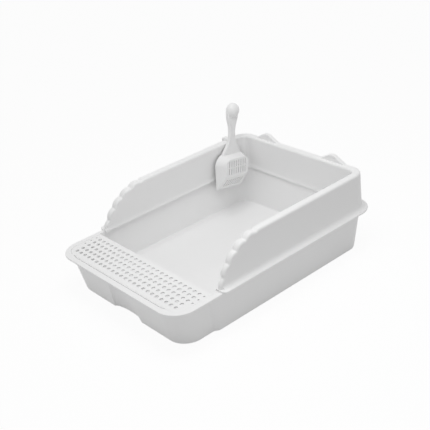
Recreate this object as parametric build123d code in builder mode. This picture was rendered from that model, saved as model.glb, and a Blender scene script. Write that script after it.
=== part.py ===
import os
from math import cos, radians, sin, tan
from build123d import *

os.makedirs("parts", exist_ok=True)

# Litter box. X is the width, +Y points to the rear wall, the step is at -Y, Z is up. Millimetres.

# Main sizes
length = 498.5  # front of the pan rim to the rear of the surround's flange
pan_width = 346  # over the pan rim
step_height = 77.5  # floor to the top of the pan rim and step
fence_height = 154  # floor to the top of the surround's rim
overhang = 6.5  # how far the surround's flange stands out past the pan rim
fit_gap = 0.25  # gap round the step plate and inside the scoop's hook
slack = 0.05  # tolerance when faces and edges are picked

front_y = -length / 2
rear_y = length / 2

# Pan
pan_wall = 2.6
pan_floor = 2.8
pan_rim_thick = 3
pan_rim_reach = 9  # how far the rim stands out from the front and rear walls
side_reach = 7  # the same at the sides, behind the waist
pan_corner = 37  # of the rear rim corners
front_corner = 43  # of the front rim corners
side_draft = 4.5  # what each side wall leans in from rim to floor
end_draft = 16  # the same for the front and rear walls
foot_round = 4
cavity_round = 3
waist = 5.5  # how far each side wall steps in beside the step plate
waist_run = 9  # length of that step
waist_set_back = 3.5  # middle of the step behind the plate, at the floor
waist_slope = 0.11  # what it comes forward by with height
waist_round = 9
corner_growth = 9  # front wall corners rounder than the rear ones by this
rim_cove = 3
pan_edge_round = 1.2
hollow_half = 40.5  # shallow hollow in the middle of the front wall, half its width at the floor
hollow_depth = 8
hollow_lintel = 3.5  # wall left between the hollow and the rim
hollow_taper = 0.6  # size of the hollow at its top as a part of that at the floor

pan_rear_y = rear_y - overhang
pan_mid_y = (front_y + pan_rear_y) / 2
rim_under = step_height - pan_rim_thick
neck_width = pan_width - 2 * side_reach
neck_length = pan_rear_y - front_y - 2 * pan_rim_reach
neck_corner = pan_corner - pan_rim_reach / 2
foot_width = neck_width - 2 * side_draft
foot_length = neck_length - 2 * end_draft
foot_corner = neck_corner - side_draft
foot_front_y = pan_mid_y - foot_length / 2
side_slope = side_draft / rim_under
end_slope = end_draft / rim_under
hollow_height = rim_under - hollow_lintel
hollow_top_y = foot_front_y - end_slope * hollow_height

# Step plate
plate_width = 323
plate_depth = 77.5
plate_margin = 14.5  # pan rim in front of the plate
plate_thick = 2
plate_corner = 23
plate_edge_round = 0.3
plate_skirt_depth = 4
plate_skirt_thick = 2
plate_skirt_inset = 6  # each end of the skirt in from the end of the plate
hole_columns = 24
hole_rows = 5
hole_pitch_x = 12.5
hole_pitch_y = 12.8
hole_diameter = 7.2
end_hole_diameter = 4
end_hole_shift = 1  # small end holes nearer to the others than the pitch
end_hole_rows = 3
ledge_width = 4  # what the plate rests on at its sides and front
ledge_depth = 8.5

plate_front_y = front_y + plate_margin
plate_rear_y = plate_front_y + plate_depth
plate_mid_y = (plate_front_y + plate_rear_y) / 2
plate_under = step_height - plate_thick
ledge_under = rim_under - ledge_depth
end_hole_spread = hole_pitch_x * (hole_columns + 1) - 2 * end_hole_shift

# Surround
flange_thick = 4
flange_corner = pan_corner + overhang
flange_half = pan_width / 2 + overhang
flange_top = step_height + flange_thick
rim_inset = 13  # flange edge to the outside of the rim
rim_width = 16.5
rim_round = 4  # edges of the rim and of the scalloped ends
wall_inset = 11.5  # flange edge to the wall just above its flared foot
flare_height = 7.5
flare_inset = 5  # flat part of the flange, edge to foot of the flare
foot_inset = 22.3  # flange edge to the inside of the surround's foot
foot_height = 2.5
cove_inset = 21.5  # flange edge to the inner face just above the cove at its foot
cove_height = 10.5
skin = 2.5
step_to_fence = 11.25  # rear of the step plate to the front ends of the surround
foot_set_back = 1  # where the flare and cove start behind the rounded edge of the scallops
flange_end_round = 8

fence_front_y = plate_rear_y + step_to_fence
fence_rise = fence_height - step_height
flare_top = flange_top + flare_height
cove_top = step_height + cove_height
outer_lean = (rim_inset - wall_inset) / (fence_height - flare_top)
inner_lean = (rim_inset + rim_width - cove_inset) / (fence_height - cove_top)

# Scalloped front ends
lobe_count = 5
lobe_bulge = 0.2  # how far each lobe stands out from the line between its notches, as a part of it
lobe_slope = 12.3  # slope of the top lobe's line, in degrees
lobe_turn = 14  # what each next line turns down by
notch_round = 3
scallop_tail = 2.6  # end of the lowest lobe below the underside of the flange
scallop_set_back = 2.8  # the same behind the front end of the flange
scallop_dip = 3  # the top notch below the rim
scallop_run_out = 6  # from the top notch up to the rim
scallop_blend = 5
scallop_reach = 20  # how far the cut goes on above the rim, past the run-out

headings = [radians(lobe_slope + lobe * lobe_turn) for lobe in range(lobe_count)]
lobe_chord = (fence_rise - scallop_dip + scallop_tail) / sum(sin(heading) for heading in headings)
lobe_rise = lobe_chord * lobe_bulge
scallop_run = lobe_chord * sum(cos(heading) for heading in headings)
scallop_top_y = fence_front_y + scallop_set_back + scallop_run

# Ears on the rear rim
ear_spacing = 176
ear_base = 62
ear_height = 16.6  # point of the triangle above the rim, before it is rounded
ear_thick = 8.5
ear_tip_round = 20
ear_edge_round = 2
ear_setback = 1.25  # rear face of the ear in from the outside of the rim
ear_root = 2  # how far the ear goes down into the rim

# Scoop, drawn flat on its back and hung on the left wall with the handle leaning to the rear
scoop_lean = 8.5
scoop_set_back = 84.25  # middle of the scoop's lip in front of the rear of the flange
scoop_lip_z = 53.5
scoop_stand_off = 2  # back of the scoop in from the inside of the rim
scoop_length = 183.7
lip_width = 73
bowl_width = 87  # over the top of the bowl, before its corners are rounded
bowl_length = 78
bowl_depth = 23.5
bowl_skin = 2
bowl_corner = 24
lip_corner = 5
face_width = 63  # flat perforated face of the bowl
face_start = 33
face_length = 38.5
face_corner = 14
slot_columns = 8
slot_pitch = 6.4
slot_width = 2
slot_length = 14
slot_rows = 2
slope_slot_length = 19
neck_half = 9
neck_start = 106
grip_thick = 7
shoulder_half = 27
shoulder_start = 72
shoulder_slope = 2  # rise over run where the shoulder leaves the bowl
knob_half = 14.7
knob_ball = 12.2
knob_ball_out = 4.5  # middle of the ball out from the back of the handle
grip_edge_round = 1.5
hook_width = 9
hook_rise = 6  # hook above the rim
hook_thick = 2.5  # its end outside the rim
hook_drop = 10
hook_bend = 5
hook_edge_round = 1

rim_outside = flange_half - rim_inset
scoop_back_x = scoop_stand_off + rim_width - rim_outside
knob_centre = scoop_length - knob_half
scoop_lip_y = rear_y - scoop_set_back
hook_y = scoop_lip_y + (fence_height - scoop_lip_z) * tan(radians(scoop_lean))
hook_drop_x = -(rim_outside + outer_lean * hook_drop + fit_gap)


def pan_section(inset, height):
    # Outline of the pan's outside at a height, drawn in by an inset, with the waist beside the step.
    side = foot_width / 2 + side_slope * height - inset
    slim = side - waist
    front = pan_mid_y - foot_length / 2 - end_slope * height + inset
    rear = pan_mid_y + foot_length / 2 + end_slope * height - inset
    waist_y = plate_rear_y + waist_set_back - waist_slope * height
    corner = foot_corner + side_slope * height - inset
    with BuildSketch(Plane.XY.offset(height)) as section:
        with BuildLine():
            Polyline(
                (-slim, front),
                (slim, front),
                (slim, waist_y - waist_run / 2),
                (side, waist_y + waist_run / 2),
                (side, rear),
                (-side, rear),
                (-side, waist_y + waist_run / 2),
                (-slim, waist_y - waist_run / 2),
                close=True,
            )
        make_face()
        fillet(section.vertices().group_by(Axis.Y)[-1], corner)
        steps = section.vertices().group_by(Axis.Y)
        fillet(steps[1] + steps[2], waist_round)
        fillet(section.vertices().group_by(Axis.Y)[0], corner + corner_growth)
    return section.sketch


def is_wall_edge(edge):
    # True for an edge where the pan's wall meets the underside of its rim.
    box = edge.bounding_box()
    return box.max.X < pan_width / 2 - rim_cove and box.min.X > rim_cove - pan_width / 2 and (
        box.min.Y > front_y + rim_cove and box.max.Y < pan_rear_y - rim_cove)


def is_rim_edge(edge):
    # True for an edge of the pan rim's outline.
    box = edge.bounding_box()
    return box.max.X > pan_width / 2 - slack or box.min.X < slack - pan_width / 2 or (
        box.min.Y < front_y + slack or box.max.Y > pan_rear_y - slack)


def is_front_face(face):
    # True for a face of the surround's scalloped front ends.
    return face.bounding_box().max.Y < scallop_top_y + scallop_reach and (
        abs(face.normal_at().X) < slack and face.normal_at().Z > slack)


def runs_along(edge):
    # True for an edge that runs along the wall, not across it from side to side.
    return edge.center().Y > 0 or abs((edge % 0.5).X) < 0.5


# Hollow in the front wall, and the same with the wall behind it
with BuildPart() as hollow:
    with BuildSketch(Plane.XY):
        with Locations((0, foot_front_y)):
            Ellipse(hollow_half, hollow_depth)
    with BuildSketch(Plane.XY.offset(hollow_height)):
        with Locations((0, hollow_top_y)):
            Ellipse(hollow_half * hollow_taper, hollow_depth * hollow_taper)
    loft()

with BuildPart() as hollow_back:
    with BuildSketch(Plane.XY):
        with Locations((0, foot_front_y)):
            Ellipse(hollow_half + pan_wall, hollow_depth + pan_wall)
    with BuildSketch(Plane.XY.offset(hollow_height + pan_wall)):
        with Locations((0, hollow_top_y)):
            Ellipse(hollow_half * hollow_taper + pan_wall, hollow_depth * hollow_taper + pan_wall)
    loft()

# Space inside the pan, with the back of the front wall's hollow standing into it
with BuildPart() as pan_space:
    add(pan_section(pan_wall, pan_floor))
    add(pan_section(pan_wall, step_height))
    loft()
    add(hollow_back.part, mode=Mode.SUBTRACT)
    fillet(pan_space.edges().group_by(Axis.Z)[0], cavity_round)

# Ledge that the step plate lies on, round the front end of the pan
with BuildPart() as plate_ledge:
    with BuildSketch(Plane.XY.offset(ledge_under)):
        add(pan_section(pan_wall / 2, ledge_under).moved(Location((0, 0, -ledge_under))))
        with Locations((0, plate_rear_y)):
            Rectangle(pan_width, length, align=(Align.CENTER, Align.MIN), mode=Mode.SUBTRACT)
    extrude(amount=step_height - ledge_under)
    with BuildSketch(Plane.XY.offset(ledge_under)) as under_plate:
        with Locations((0, plate_mid_y)):
            Rectangle(plate_width - 2 * ledge_width, plate_depth)
        with Locations((0, plate_front_y)):
            Rectangle(plate_width, ledge_width, align=(Align.CENTER, Align.MIN), mode=Mode.SUBTRACT)
        fillet(under_plate.vertices().group_by(Axis.Y)[0], plate_corner - ledge_width)
    extrude(amount=plate_under - ledge_under, mode=Mode.SUBTRACT)
    add(hollow.part, mode=Mode.SUBTRACT)

with BuildPart() as base_pan:
    add(pan_section(0, 0))
    add(pan_section(0, rim_under))
    loft()
    with BuildSketch(Plane.XY.offset(rim_under)) as pan_rim:
        with Locations((0, pan_mid_y)):
            Rectangle(pan_width, pan_rear_y - front_y)
        fillet(pan_rim.vertices().group_by(Axis.Y)[-1], pan_corner)
        fillet(pan_rim.vertices().group_by(Axis.Y)[0], front_corner)
    extrude(amount=pan_rim_thick)
    under_rim = base_pan.edges().filter_by_position(Axis.Z, rim_under - slack, rim_under + slack)
    fillet(under_rim.filter_by(is_wall_edge), rim_cove)
    rim_edges = base_pan.edges().filter_by_position(Axis.Z, rim_under - slack, step_height)
    fillet(rim_edges.filter_by(is_rim_edge), pan_edge_round)
    add(hollow.part, mode=Mode.SUBTRACT)
    fillet(base_pan.edges().group_by(Axis.Z)[0], foot_round)
    add(pan_space.part, mode=Mode.SUBTRACT)
    add(plate_ledge.part)
    with BuildSketch(Plane.XY.offset(plate_under)) as pan_rebate:
        with Locations((0, plate_front_y - fit_gap)):
            Rectangle(plate_width + 2 * fit_gap, plate_depth + fit_gap, align=(Align.CENTER, Align.MIN))
        fillet(pan_rebate.vertices().group_by(Axis.Y)[0], plate_corner + fit_gap)
    extrude(amount=plate_thick, mode=Mode.SUBTRACT)

base_pan.part.label = "base_pan"
export_step(base_pan.part, "parts/base_pan.step")

with BuildPart() as step_plate:
    with BuildSketch(Plane.XY.offset(plate_under)) as tread:
        with Locations((0, plate_front_y)):
            Rectangle(plate_width, plate_depth, align=(Align.CENTER, Align.MIN))
        fillet(tread.vertices().group_by(Axis.Y)[0], plate_corner)
    extrude(amount=plate_thick)
    fillet(step_plate.faces().sort_by(Axis.Z)[-1].edges(), plate_edge_round)
    with BuildSketch(Plane.XY.offset(plate_under)):
        with Locations((0, plate_rear_y)):
            Rectangle(plate_width - 2 * plate_skirt_inset, plate_skirt_thick, align=(Align.CENTER, Align.MAX))
    extrude(amount=-plate_skirt_depth)
    with BuildSketch(Plane.XY.offset(plate_under)):
        with Locations((0, plate_mid_y)):
            with GridLocations(hole_pitch_x, hole_pitch_y, hole_columns, hole_rows):
                Circle(hole_diameter / 2)
        with Locations((0, plate_mid_y + hole_pitch_y * (hole_rows - end_hole_rows) / 2)):
            with GridLocations(end_hole_spread, hole_pitch_y, 2, end_hole_rows):
                Circle(end_hole_diameter / 2)
    extrude(amount=plate_thick, mode=Mode.SUBTRACT)

step_plate.part.label = "step_plate"
export_step(step_plate.part, "parts/step_plate.step")

# Front outline of the surround's sides: the notches run down from the rim, with a lobe between each two
notches = [(scallop_top_y, fence_height - scallop_dip)]
for heading in headings:
    last_y, last_z = notches[-1]
    notches.append((last_y - lobe_chord * cos(heading), last_z - lobe_chord * sin(heading)))
clear_z = fence_height + ear_height + 2 * ear_tip_round
clear_y = fence_front_y - lobe_chord
run_out = (scallop_top_y + scallop_run_out, fence_height)

with BuildSketch(Plane.YZ.offset(-flange_half)) as scallop:
    with BuildLine():
        for lobe, heading in enumerate(headings):
            upper, lower = Vector(notches[lobe]), Vector(notches[lobe + 1])
            bulge = Vector(-sin(heading), cos(heading)) * lobe_rise
            ThreePointArc(upper, (upper + lower) * 0.5 + bulge, lower)
        Polyline(
            notches[-1],
            (clear_y, notches[-1][1]),
            (clear_y, clear_z),
            (scallop_top_y + scallop_reach, clear_z),
            (scallop_top_y + scallop_reach, fence_height),
            run_out,
            notches[0],
        )
    make_face()
    for notch in notches[1:-1]:
        fillet(scallop.vertices().sort_by_distance(notch)[0], notch_round)
    fillet(scallop.vertices().sort_by_distance(notches[0])[0], scallop_blend)
    fillet(scallop.vertices().sort_by_distance(run_out)[0], scallop_blend)

# The same outline further back, for the flare and cove, and for the hollow behind the skin
with BuildSketch(Plane.YZ.offset(-flange_half)) as scallop_edge:
    add(scallop.sketch_local)
    offset(amount=rim_round + foot_set_back, mode=Mode.REPLACE)
    with Locations((clear_y, flange_top)):
        Rectangle(2 * length, length, align=(Align.CENTER, Align.MAX), mode=Mode.SUBTRACT)

with BuildSketch(Plane.YZ.offset(-flange_half)) as scallop_inside:
    add(scallop.sketch_local)
    offset(amount=skin, mode=Mode.REPLACE)

# Hollow inside the surround's double wall, open underneath
with BuildPart() as surround_space:
    with BuildLine() as space_track:
        FilletPolyline(
            (-flange_half, fence_front_y + 2 * skin),
            (-flange_half, rear_y),
            (flange_half, rear_y),
            (flange_half, fence_front_y + 2 * skin),
            radius=flange_corner,
        )
    with BuildSketch(Plane(origin=space_track.line @ 0, x_dir=(1, 0, 0), z_dir=(0, -1, 0))) as space_section:
        with BuildLine():
            Polyline(
                (wall_inset + skin, step_height),
                (wall_inset + skin, flare_top),
                (rim_inset + skin, fence_height - skin),
                (rim_inset + rim_width - skin, fence_height - skin),
                (cove_inset - skin, cove_top),
                (cove_inset - skin, step_height),
                close=True,
            )
        make_face()
        fillet(space_section.vertices().group_by(Axis.Y)[-1], rim_round - skin)
    sweep(path=space_track.line)
    add(scallop_inside.sketch)
    extrude(amount=2 * flange_half, dir=(1, 0, 0), mode=Mode.SUBTRACT)

# Flange and foot of the surround, with the flare outside and the cove inside
with BuildPart() as surround_foot:
    with BuildLine() as track:
        FilletPolyline(
            (-flange_half, fence_front_y),
            (-flange_half, rear_y),
            (flange_half, rear_y),
            (flange_half, fence_front_y),
            radius=flange_corner,
        )
    with BuildSketch(Plane(origin=track.line @ 0, x_dir=(1, 0, 0), z_dir=(0, -1, 0))):
        with BuildLine():
            Polyline(
                (flange_thick / 2, step_height),
                (foot_inset, step_height),
                (foot_inset, step_height + foot_height),
            )
            TangentArc(
                (cove_inset, cove_top),
                (foot_inset, step_height + foot_height),
                tangent=(-inner_lean, -1),
            )
            Line((cove_inset, cove_top), (wall_inset, flare_top))
            TangentArc((wall_inset, flare_top), (flare_inset, flange_top), tangent=(-outer_lean, -1))
            Line((flare_inset, flange_top), (flange_thick / 2, flange_top))
            ThreePointArc(
                (flange_thick / 2, flange_top),
                (0, step_height + flange_thick / 2),
                (flange_thick / 2, step_height),
            )
        make_face()
    sweep(path=track.line)
    add(scallop_edge.sketch)
    extrude(amount=2 * flange_half, dir=(1, 0, 0), mode=Mode.SUBTRACT)
    with BuildSketch(Plane.XY.offset(step_height)):
        with Locations((-flange_half, fence_front_y), (flange_half, fence_front_y)):
            Rectangle(2 * flange_end_round, 2 * flange_end_round)
        with Locations(
            (flange_end_round - flange_half, fence_front_y + flange_end_round),
            (flange_half - flange_end_round, fence_front_y + flange_end_round),
        ):
            Circle(flange_end_round, mode=Mode.SUBTRACT)
    extrude(amount=flange_thick, mode=Mode.SUBTRACT)

# Pair of ears, rooted in the rear rim
with BuildPart() as ears:
    with BuildSketch(Plane.XZ.offset(rim_inset + ear_setback - rear_y)) as ear_outline:
        with Locations((-ear_spacing / 2, fence_height), (ear_spacing / 2, fence_height)):
            Polygon((-ear_base / 2, 0), (ear_base / 2, 0), (0, ear_height), align=None)
            Rectangle(ear_base, ear_root, align=(Align.CENTER, Align.MAX))
        fillet(ear_outline.vertices().group_by(Axis.Y)[-1], ear_tip_round)
    extrude(amount=ear_thick)
    ear_edges = ears.edges().filter_by(Axis.Y, reverse=True)
    fillet(ear_edges.filter_by_position(Axis.Z, fence_height, clear_z), ear_edge_round)

with BuildPart() as surround:
    with BuildLine() as wall_track:
        FilletPolyline(
            (-flange_half, fence_front_y),
            (-flange_half, rear_y),
            (flange_half, rear_y),
            (flange_half, fence_front_y),
            radius=flange_corner,
        )
    with BuildSketch(Plane(origin=wall_track.line @ 0, x_dir=(1, 0, 0), z_dir=(0, -1, 0))):
        with BuildLine():
            Polyline(
                (rim_inset - outer_lean * fence_rise, step_height),
                (rim_inset + rim_width - inner_lean * fence_rise, step_height),
                (rim_inset + rim_width, fence_height),
                (rim_inset, fence_height),
                close=True,
            )
        make_face()
    sweep(path=wall_track.line)
    add(scallop.sketch)
    extrude(amount=2 * flange_half, dir=(1, 0, 0), mode=Mode.SUBTRACT)
    upper_faces = surround.faces().filter_by(is_front_face) + surround.faces().sort_by(Axis.Z)[-1:]
    fillet(upper_faces.edges().filter_by(runs_along), rim_round)
    add(surround_foot.part)
    add(surround_space.part, mode=Mode.SUBTRACT)
    add(ears.part)

surround.part.label = "surround"
export_step(surround.part, "parts/surround.step")

# The scoop's own plane: x across the bowl, y up the handle, z out from the wall
scoop_plane = Plane(
    origin=(scoop_back_x, scoop_lip_y, scoop_lip_z),
    x_dir=(0, cos(radians(scoop_lean)), -sin(radians(scoop_lean))),
    z_dir=(1, 0, 0),
)

with BuildPart() as handle:
    with BuildSketch(scoop_plane) as grip:
        with BuildLine():
            edge = Spline(
                (-shoulder_half, shoulder_start),
                (-neck_half, neck_start),
                (-neck_half, (neck_start + knob_centre) / 2),
                (-knob_half, knob_centre),
                tangents=[(1, shoulder_slope), (0, 1)],
            )
            ThreePointArc((-knob_half, knob_centre), (0, scoop_length), (knob_half, knob_centre))
            mirror(edge, about=Plane.YZ)
            Line((-shoulder_half, shoulder_start), (shoulder_half, shoulder_start))
        make_face()
    extrude(amount=grip_thick)
    grip_edges = handle.faces().sort_by(Axis.X)[-1].edges()
    fillet(grip_edges.filter_by(GeomType.LINE, reverse=True), grip_edge_round)
    with Locations(scoop_plane):
        with Locations((0, knob_centre, knob_ball_out)):
            Sphere(knob_ball)
    split(bisect_by=scoop_plane, keep=Keep.TOP)

# Hook on the back of the handle, over the top of the left rim
with BuildPart() as hook:
    with BuildSketch(Plane.XZ.offset(-hook_y - hook_width / 2)) as hook_outline:
        with BuildLine():
            Polyline(
                (scoop_back_x + grip_thick / 2, fence_height),
                (hook_drop_x, fence_height),
                (hook_drop_x, fence_height - hook_drop),
                (hook_drop_x - hook_thick, fence_height - hook_drop),
                (hook_drop_x - hook_thick, fence_height + hook_rise),
                (scoop_back_x + grip_thick / 2, fence_height + hook_rise),
                close=True,
            )
        make_face()
        fillet(hook_outline.vertices().group_by(Axis.Y)[-1].sort_by(Axis.X)[0], hook_bend)
    extrude(amount=hook_width)
    hook_edges = hook.faces().filter_by(Axis.Y).edges()
    fillet(hook_edges.filter_by_position(Axis.X, hook_drop_x - hook_thick, scoop_back_x), hook_edge_round)

with BuildPart() as scoop:
    with BuildSketch(scoop_plane) as mouth:
        Polygon(
            (-lip_width / 2, 0),
            (lip_width / 2, 0),
            (bowl_width / 2, bowl_length),
            (-bowl_width / 2, bowl_length),
            align=None,
        )
        fillet(mouth.vertices().group_by(Axis.Y)[-1], bowl_corner)
        fillet(mouth.vertices().group_by(Axis.Y)[0], lip_corner)
    with BuildSketch(scoop_plane.offset(bowl_depth)) as face:
        with Locations((0, face_start + face_length / 2)):
            Rectangle(face_width, face_length)
        fillet(face.vertices().group_by(Axis.Y)[-1], face_corner)
        fillet(face.vertices().group_by(Axis.Y)[0], lip_corner)
    loft()
    add(handle.part)
    with BuildSketch(scoop_plane) as mouth_inside:
        offset(mouth.sketch_local, amount=-bowl_skin)
    with BuildSketch(scoop_plane.offset(bowl_depth - bowl_skin)) as face_inside:
        offset(face.sketch_local, amount=-bowl_skin)
    loft(mode=Mode.SUBTRACT)
    with BuildSketch(scoop_plane) as slots:
        with Locations((0, face_start + face_length / 2)):
            with GridLocations(slot_pitch, slot_length + slot_width, slot_columns, slot_rows):
                SlotOverall(slot_length, slot_width, rotation=90)
        with Locations((0, face_start / 2)):
            with GridLocations(slot_pitch, slope_slot_length, slot_columns, 1):
                SlotOverall(slope_slot_length, slot_width, rotation=90)
    extrude(amount=2 * bowl_depth, mode=Mode.SUBTRACT)
    add(hook.part)

scoop.part.label = "scoop"
export_step(scoop.part, "parts/scoop.step")
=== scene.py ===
from math import radians
import bpy
from mathutils import Matrix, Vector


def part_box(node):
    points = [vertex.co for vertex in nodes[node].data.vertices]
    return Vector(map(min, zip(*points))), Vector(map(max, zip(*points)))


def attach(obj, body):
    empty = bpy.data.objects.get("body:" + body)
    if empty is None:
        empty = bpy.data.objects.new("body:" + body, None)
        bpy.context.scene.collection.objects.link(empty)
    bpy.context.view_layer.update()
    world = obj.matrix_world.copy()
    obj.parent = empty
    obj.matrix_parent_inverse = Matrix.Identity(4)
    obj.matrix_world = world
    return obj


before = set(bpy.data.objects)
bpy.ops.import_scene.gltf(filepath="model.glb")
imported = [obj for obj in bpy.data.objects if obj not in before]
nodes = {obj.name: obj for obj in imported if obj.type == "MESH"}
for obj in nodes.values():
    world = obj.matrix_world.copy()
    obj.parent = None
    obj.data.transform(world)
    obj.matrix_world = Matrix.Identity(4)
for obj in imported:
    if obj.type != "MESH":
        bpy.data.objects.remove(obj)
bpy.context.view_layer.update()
print("frame loaded:", ", ".join(sorted(nodes)))

quarterTurn = 90.0  # degrees
plainWhite = (1.0, 1.0, 1.0, 1.0)


def noisePattern(tree, place, scale, detail):
    noise = tree.nodes.new("ShaderNodeTexNoise")
    noise.inputs["Scale"].default_value = scale
    noise.inputs["Detail"].default_value = detail
    tree.links.new(place.outputs["Object"], noise.inputs["Vector"])
    return noise.outputs["Fac"]


# one white polypropylene, with its own grain and gloss for each moulding
def mouldedPlastic(name, look):
    material = bpy.data.materials.new(name)
    material.use_nodes = True
    tree = material.node_tree
    shader = tree.nodes["Principled BSDF"]
    shader.inputs["Specular IOR Level"].default_value = look["specular"]
    place = tree.nodes.new("ShaderNodeTexCoord")

    # slow drift of the colour, as thick and thin stretches of the moulding show
    drift = noisePattern(tree, place, look["driftScale"], look["driftDetail"])
    tint = tree.nodes.new("ShaderNodeValToRGB")
    shadeStop, colourStop = tint.color_ramp.elements
    shadeStop.position, colourStop.position = look["driftStops"]
    shadeStop.color = (*look["shade"], 1.0)
    colourStop.color = (*look["colour"], 1.0)
    tree.links.new(drift, tint.inputs["Fac"])
    tree.links.new(tint.outputs["Color"], shader.inputs["Base Color"])

    # gloss that comes and goes a little
    polish = noisePattern(tree, place, look["polishScale"], look["polishDetail"])
    gloss = tree.nodes.new("ShaderNodeMapRange")
    gloss.inputs["To Min"].default_value = look["smooth"]
    gloss.inputs["To Max"].default_value = look["rough"]
    tree.links.new(polish, gloss.inputs["Value"])
    tree.links.new(gloss.outputs["Result"], shader.inputs["Roughness"])

    # fine spark-eroded grain of the mould
    grain = noisePattern(tree, place, look["grainScale"], look["grainDetail"])
    bump = tree.nodes.new("ShaderNodeBump")
    bump.inputs["Strength"].default_value = look["grain"]
    bump.inputs["Distance"].default_value = look["grainDepth"]
    tree.links.new(grain, bump.inputs["Height"])
    tree.links.new(bump.outputs["Normal"], shader.inputs["Normal"])
    return material


def finishNode(node, material):
    nodes[node].data.materials.clear()
    nodes[node].data.materials.append(material)


panLook = {
    "colour": (0.97, 0.97, 0.97),
    "shade": (0.955, 0.955, 0.955),
    "driftScale": 7.0,
    "driftDetail": 2.0,
    "driftStops": (0.3, 0.7),  # all shade below the first, all colour above the second
    "polishScale": 60.0,
    "polishDetail": 4.0,
    "smooth": 0.34,
    "rough": 0.46,
    "grainScale": 900.0,
    "grainDetail": 3.0,
    "grainDepth": 0.0002,
    "grain": 0.10,
    "specular": 0.45,
}
surroundLook = dict(panLook, driftScale=8.0, smooth=0.36, rough=0.48)
stepLook = dict(panLook, driftScale=12.0, smooth=0.40, rough=0.52, grain=0.14)
scoopLook = dict(panLook, driftScale=20.0, smooth=0.09, rough=0.14, grain=0.03)

finishNode("base_pan", mouldedPlastic("panPlastic", panLook))
finishNode("surround", mouldedPlastic("surroundPlastic", surroundLook))
finishNode("step_plate", mouldedPlastic("stepPlastic", stepLook))
scoopPlastic = mouldedPlastic("scoopPlastic", scoopLook)
finishNode("scoop", scoopPlastic)
print("plastic on", len(nodes), "mouldings")


# thick round button on the end of the scoop's handle, just wider than the handle is there
buttonLook = {
    "handleEnd": 0.0147,  # radius of the handle's round end
    "middle": 0.0045,  # widest place, out from the handle's flat back
    "radius": 0.0149,
    "depth": 0.0125,  # from the widest place to the front
    "cut": 0.0005,  # flat back of the button, out from the handle's back
    "sides": 64,
    "rings": 32,
    "sharpFrom": 40.0,  # degrees: the edge of the flat back stays sharp
}


def scoopButton(look):
    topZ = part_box("scoop")[1][2]
    midZ = topZ - look["handleEnd"]
    handleEnd = [v.co for v in nodes["scoop"].data.vertices if v.co.z > midZ]
    backX = min(point.x for point in handleEnd)
    midY = (min(point.y for point in handleEnd) + max(point.y for point in handleEnd)) / 2

    # flattened ball with its poles at the front and back
    bpy.ops.object.select_all(action="DESELECT")
    bpy.ops.mesh.primitive_uv_sphere_add(
        segments=look["sides"],
        ring_count=look["rings"],
        radius=look["radius"],
        location=(backX + look["middle"], midY, midZ),
        rotation=(0, radians(quarterTurn), 0),
        scale=(1, 1, look["depth"] / look["radius"]),
    )
    button = bpy.context.object
    button.name = "scoopButton"
    bpy.ops.object.transform_apply(location=True, rotation=True, scale=True)

    # cut off flat at the back, inside the handle
    bpy.ops.object.mode_set(mode="EDIT")
    bpy.ops.mesh.select_all(action="SELECT")
    bpy.ops.mesh.bisect(
        plane_co=(backX + look["cut"], 0, 0),
        plane_no=(1, 0, 0),
        use_fill=True,
        clear_inner=True,
    )
    bpy.ops.object.mode_set(mode="OBJECT")
    bpy.ops.object.shade_smooth_by_angle(angle=radians(look["sharpFrom"]))
    button.data.materials.append(scoopPlastic)
    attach(button, "scoop")


scoopButton(buttonLook)
print("button on the scoop's handle")


# 1 for rays that come from the eye, straight or by a mirror or a clear piece
def seenByEye(tree):
    rays = tree.nodes.new("ShaderNodeLightPath")
    seen = rays.outputs["Is Camera Ray"]
    for kind in ("Is Glossy Ray", "Is Transmission Ray"):
        either = tree.nodes.new("ShaderNodeMath")
        either.operation = "MAXIMUM"
        tree.links.new(seen, either.inputs[0])
        tree.links.new(rays.outputs[kind], either.inputs[1])
        seen = either.outputs[0]
    return seen


# pale floor: plain white to the eye, with a light shadow under the box
floorLook = {
    "size": 12.0,
    "drop": 0.0004,  # below the underside of the box
    "colour": 0.8,
    "white": 0.9,  # share of glowing white that the eye sees
    "glow": 1.03,
}


def floorWhite(look):
    material = bpy.data.materials.new("floorWhite")
    material.use_nodes = True
    tree = material.node_tree
    tree.nodes.remove(tree.nodes["Principled BSDF"])
    share = tree.nodes.new("ShaderNodeMath")
    share.operation = "MULTIPLY"
    share.inputs[1].default_value = look["white"]
    tree.links.new(seenByEye(tree), share.inputs[0])
    matt = tree.nodes.new("ShaderNodeBsdfDiffuse")
    matt.inputs["Color"].default_value = (look["colour"], look["colour"], look["colour"], 1.0)
    glow = tree.nodes.new("ShaderNodeEmission")
    glow.inputs["Strength"].default_value = look["glow"]
    mix = tree.nodes.new("ShaderNodeMixShader")
    tree.links.new(share.outputs[0], mix.inputs[0])
    tree.links.new(matt.outputs[0], mix.inputs[1])
    tree.links.new(glow.outputs[0], mix.inputs[2])
    tree.links.new(mix.outputs[0], tree.nodes["Material Output"].inputs["Surface"])
    return material


bpy.ops.object.select_all(action="DESELECT")
bpy.ops.mesh.primitive_plane_add(size=floorLook["size"], location=(0, 0, -floorLook["drop"]))
floor = bpy.context.object
floor.name = "floor"
floor.data.materials.append(floorWhite(floorLook))
print("floor laid")


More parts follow.
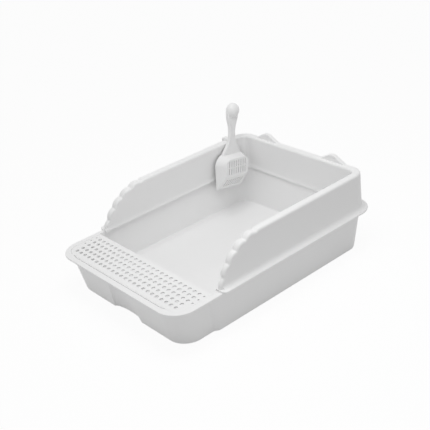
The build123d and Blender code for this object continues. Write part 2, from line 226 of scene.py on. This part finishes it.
# soft room all round, a softbox above the front right of the box,
# and one weak high lamp a little behind and to the left
lightLook = {
    "room": 0.49,
    "softbox": 2.0,
    "softboxSize": 0.45,
    "softboxPlace": (0.13, -0.08, 0.85),
    "lamp": 0.20,
    "lampSpread": 3.0,  # degrees
    "lampPlace": (0, 0, 2),
    "lampLean": (-0.055, -0.043, 0),  # radians about X, Y and Z
}

world = bpy.data.worlds.new("studio")
bpy.context.scene.world = world
world.use_nodes = True
worldTree = world.node_tree
roomLight = worldTree.nodes["Background"]
roomLight.inputs["Color"].default_value = plainWhite
roomLight.inputs["Strength"].default_value = lightLook["room"]
roomWhite = worldTree.nodes.new("ShaderNodeBackground")  # what the eye sees of the room
roomWhite.inputs["Color"].default_value = plainWhite
roomMix = worldTree.nodes.new("ShaderNodeMixShader")
worldTree.links.new(seenByEye(worldTree), roomMix.inputs[0])
worldTree.links.new(roomLight.outputs[0], roomMix.inputs[1])
worldTree.links.new(roomWhite.outputs[0], roomMix.inputs[2])
worldTree.links.new(roomMix.outputs[0], worldTree.nodes["World Output"].inputs["Surface"])

bpy.ops.object.light_add(type="AREA", location=lightLook["softboxPlace"])
softbox = bpy.context.object
softbox.name = "softbox"
softbox.data.energy = lightLook["softbox"]
softbox.data.size = lightLook["softboxSize"]

bpy.ops.object.light_add(type="SUN", location=lightLook["lampPlace"])
lamp = bpy.context.object
lamp.name = "highLamp"
lamp.data.energy = lightLook["lamp"]
lamp.data.angle = radians(lightLook["lampSpread"])
lamp.rotation_euler = lightLook["lampLean"]
print("lights on")


# camera as the picture was taken: place, heading, tilt down, roll and lens
cameraLook = {
    "place": (1.0546, -0.8608, 0.8217),
    "heading": 50.87,
    "down": 27.75,
    "roll": -6.22,
    "lens": 68.98,
    "sensor": 36.0,
}

bpy.ops.object.camera_add(location=cameraLook["place"])
camera = bpy.context.object
camera.name = "eye"
camera.data.lens = cameraLook["lens"]
camera.data.sensor_width = cameraLook["sensor"]
turn = Matrix.Rotation(radians(cameraLook["heading"]), 4, "Z")
turn = turn @ Matrix.Rotation(radians(quarterTurn - cameraLook["down"]), 4, "X")
turn = turn @ Matrix.Rotation(radians(cameraLook["roll"]), 4, "Z")
camera.rotation_euler = turn.to_euler()
bpy.context.scene.camera = camera
bpy.context.scene.view_settings.view_transform = "Standard"
print("camera set")
